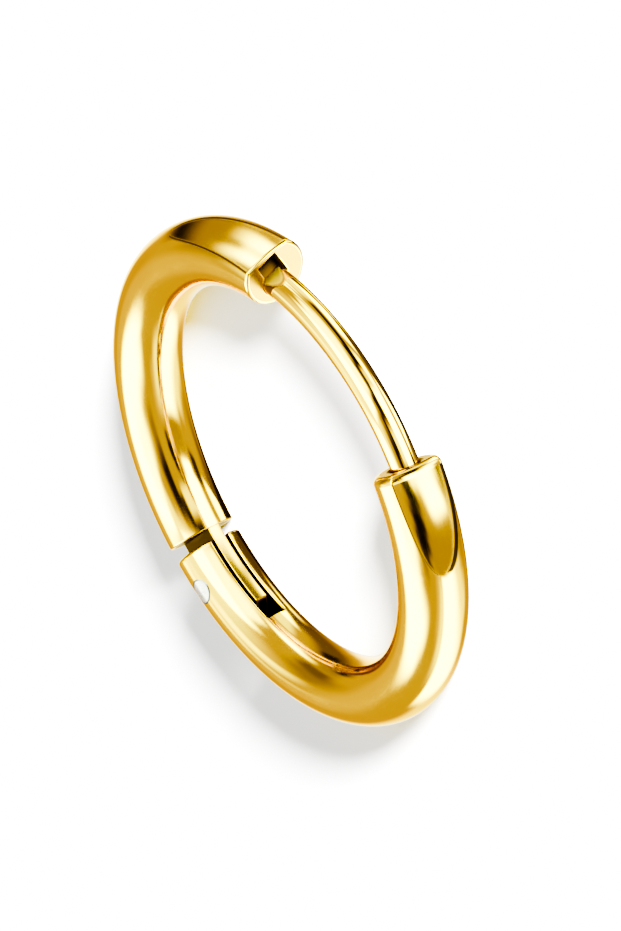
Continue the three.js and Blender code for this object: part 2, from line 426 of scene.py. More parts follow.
# %% The catch half: socket and end face
def socket_rows(rows):
    """From a point on the socket's floor, out of the mouth, over the end face and its rim."""
    at_end = facet_columns(CATCH_FACET, CATCH_END)
    depth = arc(SOCKET["depth"])
    mouth = socket_radius(at_end)
    # Painted shade inside the socket: brown on its floor and walls, with stripes along them.
    for share in (0.0, 0.5, 0.9, 1.0):
        rows.add(CATCH_END + depth, at_end, mouth * share, recess=SOCKET_SHADE_FLOOR)
    for share in np.linspace(0.04, 0.96, 28):
        stripe = SHADE_STRIPE * np.sin(2 * np.pi * SHADE_STRIPES * share)
        rows.add(CATCH_END + depth * (1 - share), at_end, mouth, recess=SOCKET_SHADE_WALL + stripe)
    for t in rim(0, 1, 4):
        rows.add(CATCH_END + arc(LIP_ROUND * (1 - np.sin(t))), at_end,
                 socket_radius(at_end, LIP_ROUND * (1 - np.cos(t))), worn=0.6)
    lip = socket_radius(at_end, LIP_ROUND)
    edge = rod_radius(CATCH_FACET, CATCH_END, at_end) - MOUTH_ROUND
    # The end face is satin, and its colour is darkened a little as painted shade.
    for share in np.linspace(0.08, 0.95, 10):
        rows.add(CATCH_END, at_end, lip + (edge - lip) * share, recess=CATCH_FACE)
    for t in rim(1, 0, 9):
        angle = CATCH_END + arc(MOUTH_ROUND * (1 - np.sin(t)))
        rows.add(angle, at_end, rod_radius(CATCH_FACET, angle, at_end)
                 - MOUTH_ROUND * (1 - np.cos(t)), worn=0.3 * np.sin(2 * t))


# %% The catch half: facet, round body and shoulder
def catch_body_rows(rows, at_hinge):
    """Along the facet and the round rod, over the shoulder's rim and down its face."""
    body = np.concatenate([CATCH_END + arc(MOUTH_ROUND) + np.linspace(0.25, 1, 4) * 0.4,
                           np.arange(CATCH_END + 2.5, CATCH_SHOULDER - 0.8, ROW_STEP),
                           [CATCH_SHOULDER - arc(SHOULDER_ROUND) - 0.1]])
    for angle in body:
        # Painted shade along the facet's edges goes into the recess value.
        columns = body_columns(CATCH_FACET, angle, at_hinge)
        rows.add(angle, columns, rod_radius(CATCH_FACET, angle, columns),
                 recess=DARK * facet_edge_shade(CATCH_FACET, angle, columns))
    for t in rim(0, 1, 6):
        angle = CATCH_SHOULDER - arc(SHOULDER_ROUND * (1 - np.sin(t)))
        rows.add(angle, at_hinge, STOCK_RADIUS - SHOULDER_ROUND * (1 - np.cos(t)), worn=0.7)
    inner = tongue_radius(at_hinge)
    # The shoulder's face, between the two halves, gets near-black painted shade.
    for share in np.linspace(0.15, 0.95, 6):
        rows.add(CATCH_SHOULDER, at_hinge, (STOCK_RADIUS - SHOULDER_ROUND) * (1 - share)
                 + inner * share, recess=DEEP)


# %% The catch half: tongue
def tongue_rows(rows, at_hinge):
    """Along the tongue, over the rim of its round tip and across the tip to a point."""
    def tip_angle(radius):
        """Angle at which the tip's circle about the pin ends the tongue."""
        out = radius * np.cos(np.radians(at_hinge))
        return PIN_ANGLE + about_pin(catch_circle(PIN_ANGLE) + out, TONGUE_REACH)

    inner = tongue_radius(at_hinge)
    side = tip_angle(inner) - arc(SHOULDER_ROUND)
    on_flat = np.abs(inner * np.sin(np.radians(at_hinge))) > 0.97 * TONGUE_HALF
    # Painted shade: near black on the tongue's flats and tip, slight on its satin round sides.
    for share in np.linspace(0.0, 1.0, 40) ** 0.9:
        rows.add(CATCH_SHOULDER + (side - CATCH_SHOULDER) * share, at_hinge, inner,
                 recess=np.where(on_flat, DEEP, TONGUE_SATIN_SHADE))
    for t in rim(0, 1, 6)[1:]:
        radius = tongue_radius(at_hinge, SHOULDER_ROUND * (1 - np.cos(t)))
        rows.add(tip_angle(radius) - arc(SHOULDER_ROUND * (1 - np.sin(t))), at_hinge, radius,
                 recess=DARK)
    last = tongue_radius(at_hinge, SHOULDER_ROUND)
    for share in (0.9, 0.7, 0.5, 0.3, 0.12, 0.0):
        rows.add(tip_angle(last * share), at_hinge, last * share, recess=DEEP)


# %% The catch half in one grid
def catch_half():
    """Socket, body and tongue, one after another in the same grid."""
    rows = Rows(catch_circle)
    at_hinge = hinge_columns(TONGUE_CORNER, TONGUE_COLUMNS)
    socket_rows(rows)
    catch_body_rows(rows, at_hinge)
    tongue_rows(rows, at_hinge)
    return rows.mesh("catch_half_polished")


catch = catch_half()

# %% [markdown]
# ## The wire half
#
# Its body is made in the same way: from the blind hole that holds the ear wire's root,
# over the end face and the rim, along the facet and round to the hinge. There the rod
# splits into a fork with two cheeks, so the grid splits too. The slot's floor is a small
# grid stretched between the two sides, and each cheek is a tube of its own whose outline
# starts on the body's last row. Welding makes it one closed skin again.

# %% The wire half's sizes
WIRE_ROOT, HOLE_PLAY, HOLE_ROUND, HOLE_MOUTH = 57.0, 0.02, 0.09, 0.58
END_ROUND = 0.24
FORK_FLOOR, FORK_END, FORK_HALF, FORK_ROUND = 288.1 - 360, 258.3 - 360, 0.30, 0.05
FORK_RUN_IN = 0.12             # length over which a cheek's sharp corners turn round
CHEEK_REACH, CHEEK_ROUND, CHEEK_MIDDLE = 1.54, 0.11, 0.66
FORK_CORNER = math.degrees(math.asin(FORK_HALF / STOCK_RADIUS))
FORK_SIDE = 20                 # columns between the two corners of one side
CHORD = 24                     # faces along the straight side of a cheek


def true_circle(angle):
    """The wire half's axis keeps one distance from the hoop's centre."""
    return HOOP_RADIUS


print("the slot takes", round(FORK_CORNER, 2), "degrees to each side of the rod's middle plane")


# %% The wire half's body
def wire_body():
    """Rows from the floor of the blind hole to the floor of the fork's slot."""
    rows = Rows(true_circle)
    at_end = facet_columns(WIRE_FACET, WIRE_END)
    bore = WIRE_RADIUS + HOLE_PLAY
    # Painted shade: near black inside the blind hole and dark round its mouth.
    for share in (0.0, 0.6, 1.0):
        rows.add(WIRE_ROOT, at_end, bore * share, recess=DEEP)
    for share in np.linspace(0.2, 0.75, 4):
        rows.add(WIRE_ROOT + (WIRE_END - WIRE_ROOT) * share, at_end, bore, recess=DEEP)
    for t in rim(0, 1, 6):
        rows.add(WIRE_END - arc(HOLE_ROUND * (1 - np.sin(t))), at_end,
                 bore + (HOLE_MOUTH - bore) * (1 - np.cos(t)), recess=DARK)
    edge = rod_radius(WIRE_FACET, WIRE_END, at_end) - END_ROUND
    # The end face is satin, and its colour is darkened a little as painted shade.
    for share in np.linspace(0.08, 0.95, 8):
        rows.add(WIRE_END, at_end, HOLE_MOUTH + (edge - HOLE_MOUTH) * share, recess=WIRE_FACE)
    for t in rim(1, 0, 9):
        angle = WIRE_END - arc(END_ROUND * (1 - np.sin(t)))
        rows.add(angle, at_end, rod_radius(WIRE_FACET, angle, at_end)
                 - END_ROUND * (1 - np.cos(t)), worn=0.3 * np.sin(2 * t))
    body = np.concatenate([WIRE_END - arc(END_ROUND) - np.linspace(0.25, 1, 4) * 0.4,
                           np.arange(WIRE_END - 2.5, FORK_FLOOR + 0.9, -ROW_STEP),
                           FORK_FLOOR + np.array([0.3, 0.1, 0.0])])
    at_fork = hinge_columns(FORK_CORNER, FORK_SIDE)
    for angle in body:
        # Painted shade along the facet's edges goes into the recess value.
        columns = body_columns(WIRE_FACET, angle, at_fork)
        radius = rod_radius(WIRE_FACET, angle, columns) if angle > 0 else STOCK_RADIUS
        rows.add(angle, columns, radius, recess=DEEP * facet_edge_shade(WIRE_FACET, angle, columns))
    return rows


# %% The fork: the slot's floor and two cheeks
def slot_floor():
    """Straight lines at equal heights between the two sides of the rod."""
    side = np.radians(-FORK_CORNER + 2 * FORK_CORNER * np.arange(FORK_SIDE + 1) / FORK_SIDE)
    out = np.linspace(1, -1, CHORD + 1)[None, :] * STOCK_RADIUS * np.cos(side)[:, None]
    up = np.broadcast_to(STOCK_RADIUS * np.sin(side)[:, None], out.shape)
    points = on_hoop(FORK_FLOOR, HOOP_RADIUS + out, up)
    faces = grid_faces(FORK_SIDE + 1, CHORD + 1, closed=False, flip=True)
    return points.reshape(-1, 3), faces


def cheek_outline(rounding, inset=0.0):
    """A cheek's section: the rod's circle above a chord, with both corners rounded. It
    starts on the outer corner, runs over the circle and comes back along the chord.
    inset draws the whole outline inwards."""
    radius = STOCK_RADIUS - inset
    chord = FORK_HALF + inset
    r = max(rounding - inset, 0.0)
    corner = math.asin((chord + r) / (radius - r))
    wide = COLUMNS // 2 - FORK_SIDE
    arc_turn = corner + (math.pi - 2 * corner) * np.append(crowded(wide), 1.0)
    out, up = [radius * np.cos(arc_turn)], [radius * np.sin(arc_turn)]
    fan = np.linspace(0, 1, 6)[1:]
    swing = math.pi - corner + fan * (math.pi / 2 + corner)
    centre = np.array([(radius - r) * math.cos(corner), chord + r])
    out.append(-centre[0] + r * np.cos(swing))
    up.append(centre[1] + r * np.sin(swing))
    line = np.linspace(-1, 1, CHORD + 1)[1:]
    out.append(line * centre[0])
    up.append(np.full(CHORD, chord))
    swing = -math.pi / 2 + fan[:-1] * (math.pi / 2 + corner)
    out.append(centre[0] + r * np.cos(swing))
    up.append(centre[1] + r * np.sin(swing))
    return np.concatenate(out), np.concatenate(up)


def cheek_end(out):
    """Angle at which a cheek stops: its flat end, or a circle about the pin that clears
    the other half's shoulder as it turns, whichever comes first."""
    swing = PIN_ANGLE - 360 - about_pin(HOOP_RADIUS + out, CHEEK_REACH)
    return -soft_min(-FORK_END, -swing, 25.0)


def cheek(sign):
    """One cheek as a tube of rows, closed at its end. sign is 1 above and -1 below."""
    points = []
    for share in np.linspace(0, 1, 5):
        out, up = cheek_outline(FORK_ROUND * share)
        points.append(on_hoop(FORK_FLOOR - arc(FORK_RUN_IN) * share, HOOP_RADIUS + out, up))
    start, stop = FORK_FLOOR - arc(FORK_RUN_IN), cheek_end(out) + arc(CHEEK_ROUND)
    for share in np.linspace(0, 1, 44)[1:]:
        points.append(on_hoop(start + (stop - start) * share, HOOP_RADIUS + out, up))
    for t in rim(0, 1, 8)[1:]:
        out, up = cheek_outline(FORK_ROUND, CHEEK_ROUND * (1 - np.cos(t)))
        points.append(on_hoop(cheek_end(out) + arc(CHEEK_ROUND * (1 - np.sin(t))),
                              HOOP_RADIUS + out, up))
    for share in (0.85, 0.6, 0.3, 0.0):
        nearer, level = out * share, CHEEK_MIDDLE + (up - CHEEK_MIDDLE) * share
        points.append(on_hoop(cheek_end(nearer), HOOP_RADIUS + nearer, level))
    points = np.stack(points)
    points[..., 2] = pin_z + sign * (points[..., 2] - pin_z)
    faces = grid_faces(points.shape[0], points.shape[1], flip=sign < 0)
    return points.reshape(-1, 3), faces


# %% The wire half in one skin
def wire_half():
    """Body, slot floor and cheeks, joined where their points meet."""
    rows = wire_body()
    body = np.stack(rows.points)
    body_count = body.shape[0] * body.shape[1]
    parts = [(body.reshape(-1, 3), grid_faces(body.shape[0], body.shape[1])),
             slot_floor(), cheek(1), cheek(-1)]
    points = np.concatenate([p for p, _ in parts])
    offsets = np.cumsum([0] + [len(p) for p, _ in parts[:-1]])
    faces = np.concatenate([f + o for (_, f), o in zip(parts, offsets)])
    on_fork = np.zeros(len(points) - body_count)
    worn = np.concatenate([np.stack(rows.worn).ravel(), on_fork])
    recess = np.concatenate([np.stack(rows.recess).ravel(), on_fork])

    x, y, z = (points - (centre_x, centre_y, pin_z)).T
    # Painted near-black shade in the fork's slot: on its floor and the cheeks' inner flats.
    in_slot = (np.arange(len(points)) >= body_count) & (np.abs(z) < FORK_HALF + 1e-4)
    recess = np.where(in_slot, DEEP, recess)
    along = np.arctan2(y, x) * HOOP_RADIUS
    round_it = np.arctan2(z, np.hypot(x, y) - HOOP_RADIUS) * STOCK_RADIUS
    uv = np.stack([along, round_it], axis=-1)[faces]
    return build("wire_half_polished", points, faces, {"worn": worn, "recess": recess}, uv)


wire = wire_half()

# %% [markdown]
# ## The ear wire
#
# A thin round wire bent to the hoop's own circle. Its root sits in the wire half's blind
# hole. Its tip is filed to a small flat wedge, so that it slides under the lip of the
# catch half's socket and springs in place. The file leaves the flat satin, and a thin dark
# line of painted shade runs round it. The rows stand closer together there, where the
# section changes.

# %% The ear wire's section
WIRE_TIP, TIP_ROUND, FLAT_LENGTH, FLAT_DEPTH = 120.4, 0.08, 0.80, 0.22
WIRE_COLUMNS = SOCKET["tilt"] + 360 * np.arange(72) / 72
FACING = np.cos(np.radians(WIRE_COLUMNS - SOCKET["tilt"]))    # 1 towards the flat's middle
FILED_FROM = 0.006             # metal is filed where at least so much is gone
OUTLINE_WIDTH = 0.03


def tip_flat(angle):
    """Distance of the filed flat from the wire's axis, falling evenly towards the tip."""
    share = (angle - (WIRE_TIP - arc(FLAT_LENGTH))) / arc(FLAT_LENGTH)
    return WIRE_RADIUS - FLAT_DEPTH * share


def flat_distance(angle):
    """Where each column's ray meets the flat: its distance over the cosine."""
    return tip_flat(angle) / np.maximum(FACING, 0.05)


def wire_section(angle):
    """The wire's circle, cut by the flat on the side that faces it."""
    flat = np.where(FACING > 0.05, flat_distance(angle), 9.0)
    return soft_min(WIRE_RADIUS, flat, 200.0)


def flat_edge_shade(angle):
    """A dark line of painted shade where the flat meets the circle: exp(-(distance / width)^2).
    """
    beside = (WIRE_RADIUS - flat_distance(angle)) / OUTLINE_WIDTH
    return 0.9 * (FACING > 0.05) * np.exp(-beside ** 2)


print("the flat leaves", round(float(tip_flat(WIRE_TIP)), 3), "mm above the wire's axis")


# %% The ear wire's grid
def ear_wire():
    """Round wire with a filed tip, closed at its root and its tip."""
    rows = Rows(true_circle)
    for share in (0.0, 0.6, 1.0):
        rows.add(WIRE_ROOT + 0.3, WIRE_COLUMNS, WIRE_RADIUS * share)
    for angle in np.append(np.arange(WIRE_ROOT + 0.6, WIRE_TIP - 9, ROW_STEP),
                           np.arange(WIRE_TIP - 8.6, WIRE_TIP - 0.9, 0.2)):
        # A thin line of painted shade runs round the filed flat.
        section = wire_section(angle)
        filed = (WIRE_RADIUS - section > FILED_FROM) * 1.0
        rows.add(angle, WIRE_COLUMNS, section, worn=filed, recess=flat_edge_shade(angle))
    for t in rim(0, 1, 6):
        angle = WIRE_TIP - arc(TIP_ROUND * (1 - np.sin(t)))
        rows.add(angle, WIRE_COLUMNS, wire_section(angle) - TIP_ROUND * (1 - np.cos(t)),
                 worn=0.5)
    for share in (0.7, 0.35, 0.0):
        rows.add(WIRE_TIP, WIRE_COLUMNS, (wire_section(WIRE_TIP) - TIP_ROUND) * share)
    return rows.mesh("ear_wire_polished")


thin_wire = ear_wire()

# %% [markdown]
# ## The hinge pin
#
# The pin is a small steel rivet. It goes through both cheeks and the tongue, and its
# ends are filed down until they follow the rod's round surface. Only a hair-thin seam and
# the whiter metal give it away. Rings round the pin's own axis carry it, each lifted to
# the height of the rod's surface.

# %% The pin's grid
def hinge_pin():
    """A round bar whose ends lie a hair above the rod's surface: z = sqrt(R^2 - out^2)."""
    columns = np.linspace(0, 2 * np.pi, 48, endpoint=False)
    proud, soft = 0.004, 0.045     # height above the rod, and the rounding of the ends

    def ring(radius, up):
        """A circle about the pin's axis, laid on the rod's surface and moved up."""
        x, y = pin_x + radius * np.cos(columns), pin_y + radius * np.sin(columns)
        out = np.hypot(x - centre_x, y - centre_y) - HOOP_RADIUS
        return x, y, np.sqrt(STOCK_RADIUS ** 2 - out ** 2) + up

    # The rings at the rim mark the seam, which gets painted shade.
    half, seam_shade = [], []
    for share in (0.0, 0.25, 0.5, 0.75, 0.86, 0.95):
        half.append(ring((PIN_RADIUS - soft) * share, proud))
        seam_shade.append(0.0)
    for t in rim(0, 1, 6):
        half.append(ring(PIN_RADIUS - soft * (1 - np.sin(t)), proud - 0.002 * (1 - np.cos(t))))
        seam_shade.append(1.0)
    above = [np.stack([x, y, pin_z + z], axis=-1) for x, y, z in half]
    below = [np.stack([x, y, pin_z - z], axis=-1) for x, y, z in half[::-1]]
    points = np.stack(above + below)
    faces = grid_faces(points.shape[0], points.shape[1], flip=True)
    recess = np.repeat(np.array(seam_shade + seam_shade[::-1]), columns.size)
    return build("hinge_pin_finished", points.reshape(-1, 3), faces, {"recess": recess})


pin = hinge_pin()

# %% [markdown]
# ## Polished gold
#
# Jewellery gold is a mirror with a warm tint. A perfect mirror looks like a computer
# drawing, so three small things break it up: a slow drift of colour as plating has,
# hairline polishing marks that run along the rod, and slightly duller, paler edges where
# skin and pillowcases have rubbed. The wear comes from the field stored on the mesh.
#
# Where a wheel can't reach, the gold stays as it was cast and rougher. The recess field
# says how deep such a place is, and the finish changes with it: satin on the end faces,
# rougher deeper in. The same field paints shade into the colour: a little darker on the
# end faces, painted brown shade inside the socket, where the gold is also a little less of
# a metal, then painted near-black shade in slots, holes and along the facets' edges. A
# plain metal turns white at grazing angles, so the shader's tint keeps the rod's rims
# golden. The ear wire is the same gold, but drawn through a plate: it is smoother, and a
# file has left its flat much rougher.

# %% Helpers for node materials
class Nodes:
    """Adds and links shader nodes in one call each."""

    def __init__(self, tree):
        self.tree = tree
        tree.nodes.clear()

    def add(self, kind, settings=None, **inputs):
        """A node of a kind. An input such as i0 is a socket by number, and another is one
        by name. A value is set, and another node's output is linked."""
        node = self.tree.nodes.new(kind)
        for key, value in (settings or {}).items():
            setattr(node, key, value)
        for key, value in inputs.items():
            numbered = key[0] == "i" and key[1:].isdigit()
            name = int(key[1:]) if numbered else key.replace("_", " ")
            socket = node.inputs[name]
            if isinstance(value, bpy.types.NodeSocket):
                self.tree.links.new(value, socket)
            else:
                socket.default_value = value
        return node

    def math(self, operation, a, b=0.0, c=0.0):
        """One sum, product or other function of up to three values."""
        return self.add("ShaderNodeMath", dict(operation=operation),
                        i0=a, i1=b, i2=c).outputs[0]

    def smooth(self, value, low, high, to_low=0.0, to_high=1.0):
        """A smooth step from to_low to to_high as the value goes from low to high."""
        return self.add("ShaderNodeMapRange", dict(interpolation_type="SMOOTHSTEP"),
                        Value=value, From_Min=low, From_Max=high, To_Min=to_low,
                        To_Max=to_high).outputs["Result"]

    def mix(self, share, a, b):
        """Colours a and b mixed by share."""
        node = self.tree.nodes.new("ShaderNodeMix")
        node.data_type = "RGBA"
        for number, value in ((0, share), (6, a), (7, b)):
            if isinstance(value, bpy.types.NodeSocket):
                self.tree.links.new(value, node.inputs[number])
            else:
                node.inputs[number].default_value = value
        return node.outputs[2]


# %% The gold finish
GOLD = (0.64, 0.455, 0.036, 1)
GOLD_WARM = (0.62, 0.428, 0.028, 1)
GOLD_PALE = (0.68, 0.50, 0.060, 1)          # rubbed edges
GOLD_BROWN_SHADE = (0.10, 0.035, 0.002, 1)      # painted brown shade
GOLD_DARK_SHADE = (0.014, 0.006, 0.001, 1)        # painted near-black shade in slots, holes and along the facets' edges
EDGE_GOLD = (0.95, 0.72, 0.30, 1)           # tint at grazing angles
BROWN_SHADE_FROM, BROWN_SHADE_FULL = 0.68, 0.80           # recess at which the painted brown shade starts and is full
BLACK_FROM, BLACK_FULL = 0.89, 0.99         # and at which it gives way to near-black painted shade
BROWN_SHADE_METAL = -0.16                          # where the brown shade is painted, the gold is this much less of a metal
SATIN_ROUGH = 0.28                          # roughness that the deepest recess adds


def polished_gold(name, smooth_at, hazy_at, rubbed):
    """Mirror gold with drift of colour, hairlines, rubbed edges, and recesses that are rougher
    and darkened with painted shade.

    smooth_at and hazy_at are the roughness between and on the hairlines, and rubbed is
    what wear adds."""
    material = bpy.data.materials.new(name)
    material.use_nodes = True
    n = Nodes(material.node_tree)
    place = n.add("ShaderNodeTexCoord").outputs["Object"]
    uv = n.add("ShaderNodeUVMap", dict(uv_map="along_and_round")).outputs["UV"]
    worn = n.add("ShaderNodeAttribute", dict(attribute_name="worn")).outputs["Fac"]
    recess = n.add("ShaderNodeAttribute", dict(attribute_name="recess")).outputs["Fac"]

    drift = n.add("ShaderNodeTexNoise", Vector=place, Scale=420.0, Detail=2.0).outputs["Fac"]
    base = n.mix(n.smooth(drift, 0.35, 0.68), GOLD_WARM, GOLD)
    base = n.mix(n.math("MULTIPLY", worn, 0.6), base, GOLD_PALE)
    # Painted shade: the recess value darkens the gold towards brown and then near black.
    painted_dark = n.mix(n.smooth(recess, BLACK_FROM, BLACK_FULL), GOLD_BROWN_SHADE, GOLD_DARK_SHADE)
    base = n.mix(n.smooth(recess, 0.3, 1.0, 0.0, 0.97), base, painted_dark)
    painted_brown = n.math("MULTIPLY", n.smooth(recess, BROWN_SHADE_FROM, BROWN_SHADE_FULL),
                  n.smooth(recess, BLACK_FROM, BLACK_FULL, 1.0, 0.0))

    drawn = n.add("ShaderNodeMapping", dict(vector_type="POINT"), Vector=uv,
                  Scale=(0.9, 30.0, 1.0)).outputs["Vector"]
    hairline = n.add("ShaderNodeTexNoise", Vector=drawn, Scale=1.0, Detail=3.0,
                     Roughness=0.6).outputs["Fac"]
    smudge = n.add("ShaderNodeTexNoise", Vector=place, Scale=900.0, Detail=3.0).outputs["Fac"]
    rough = n.math("ADD", n.smooth(hairline, 0.40, 0.75, smooth_at, hazy_at),
                   n.smooth(smudge, 0.45, 0.75, 0.0, 0.03))
    rough = n.math("ADD", rough, n.math("MULTIPLY", worn, rubbed))
    rough = n.math("ADD", rough, n.math("MULTIPLY", recess, SATIN_ROUGH))
    bump = n.add("ShaderNodeBump", Strength=0.03, Distance=0.00001,
                 Height=hairline).outputs["Normal"]

    shader = n.add("ShaderNodeBsdfPrincipled", Base_Color=base,
                   Metallic=n.math("MULTIPLY_ADD", painted_brown, BROWN_SHADE_METAL, 1.0),
                   Roughness=rough, Specular_Tint=EDGE_GOLD, Normal=bump)
    n.add("ShaderNodeOutputMaterial", Surface=shader.outputs[0])
    print(name, "has", len(material.node_tree.nodes), "nodes")
    return material


cast_gold = polished_gold("polished_gold", smooth_at=0.09, hazy_at=0.13, rubbed=0.08)
drawn_gold = polished_gold("drawn_gold", smooth_at=0.030, hazy_at=0.05, rubbed=0.60)

# %% [markdown]
# ## Filed steel
#
# The pin's ends are steel, cut off and filed flush. Steel is grey beside gold, and a file
# that turns on the pin leaves fine rings. Rings of a wave texture about the pin's own axis
# give them. The seam round the pin is darkened with painted shade, stronger in some places
# than others.

# %% The pin's finish
STEEL_DARK, STEEL_LIGHT = (0.40, 0.385, 0.35, 1), (0.50, 0.485, 0.45, 1)
# Colour of the painted shade in the seam round the pin.
SEAM_SHADE_COLOUR = (0.05, 0.04, 0.03, 1)


def pin_steel():
    """Filed steel: grey, a little rough, with fine concentric file marks on the ends and
    painted shade in the seam round them.
    """
    material = bpy.data.materials.new("pin_steel")
    material.use_nodes = True
    n = Nodes(material.node_tree)
    place = n.add("ShaderNodeTexCoord").outputs["Object"]
    centred = n.add("ShaderNodeMapping", Vector=place,
                    Location=(-0.001 * pin_x, -0.001 * pin_y, 0.0)).outputs["Vector"]
    marks = n.add("ShaderNodeTexWave", dict(wave_type="RINGS", rings_direction="Z"),
                  Vector=centred, Scale=9000.0, Distortion=3.0, Detail=2.0).outputs["Fac"]
    grain = n.add("ShaderNodeTexNoise", Vector=place, Scale=6000.0, Detail=3.0).outputs["Fac"]
    recess = n.add("ShaderNodeAttribute", dict(attribute_name="recess")).outputs["Fac"]
    shade_strength_noise = n.add("ShaderNodeTexNoise", Vector=place, Scale=1500.0, Detail=1.0).outputs["Fac"]
    base = n.mix(grain, STEEL_DARK, STEEL_LIGHT)
    # Painted shade in the seam round the pin, stronger in some places than others.
    seam_shade = n.math("MULTIPLY", n.smooth(recess, 0.2, 0.9), n.smooth(shade_strength_noise, 0.4, 0.6, 0.2, 1.0))
    base = n.mix(seam_shade, base, SEAM_SHADE_COLOUR)
    rough = n.math("ADD", n.smooth(marks, 0.2, 0.9, 0.14, 0.26),
                   n.math("MULTIPLY", grain, 0.08))
    bump = n.add("ShaderNodeBump", Strength=0.15, Distance=0.000002,
                 Height=marks).outputs["Normal"]
    shader = n.add("ShaderNodeBsdfPrincipled", Base_Color=base, Metallic=1.0,
                   Roughness=rough, Normal=bump)
    n.add("ShaderNodeOutputMaterial", Surface=shader.outputs[0])
    print("pin_steel has", len(material.node_tree.nodes), "nodes")
    return material


catch.data.materials.append(cast_gold)
wire.data.materials.append(cast_gold)
thin_wire.data.materials.append(drawn_gold)
pin.data.materials.append(pin_steel())

# %% [markdown]
# ## Joining the pieces to the CAD model
#
# Each fine piece stands for its CAD node and rides on that node's body, so the hinge
# opens the catch half while the wire, the pin and the wire half stay together.

# %% Bodies and replaced nodes
for piece, body, node, slot in ((catch, "catch_half", "catch_half", "polished_gold"),
                                (wire, "wire_half", "wire_half", "polished_gold"),
                                (thin_wire, "wire_half", "ear_wire", "polished_gold"),
                                (pin, "wire_half", "hinge_pin", "pin_steel")):
    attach(piece, body)
    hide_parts(node)
    low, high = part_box(node)
    own = np.array([v.co for v in piece.data.vertices]) * 1000
    print(piece.name, "box", own.min(0).round(3), own.max(0).round(3),
          "CAD", [round(1000 * v, 3) for v in low], [round(1000 * v, 3) for v in high])

# %% [markdown]
# ## The studio
#
# A mirror has no look of its own: it shows the room. Jewellery is therefore lit in a
# tent of white panels, with a few black strips that draw the dark lines. Here the tent
# is the world itself. Every panel is a soft-edged patch at an azimuth and a height, in
# degrees, and a later panel lies over the earlier ones. Lit planes would do the same, but
# they would stand in the way of a camera that looks from behind them.

# %% Panels of light as patches of the world
def patch(n, azimuth, height, middle, half_width, soft_width, low, high, soft_low, soft_high):
    """A soft patch: 1 within half_width degrees of its middle and between two heights."""
    turned = n.math("WRAP", n.math("SUBTRACT", azimuth, middle), 180.0, -180.0)
    off = n.math("ABSOLUTE", turned)
    across = n.smooth(off, half_width - soft_width / 2, half_width + soft_width / 2, 1.0, 0.0)
    above = n.smooth(height, low - soft_low / 2, low + soft_low / 2)
    below = n.smooth(height, high - soft_high / 2, high + soft_high / 2, 1.0, 0.0)
    return n.math("MULTIPLY", across, n.math("MULTIPLY", above, below))


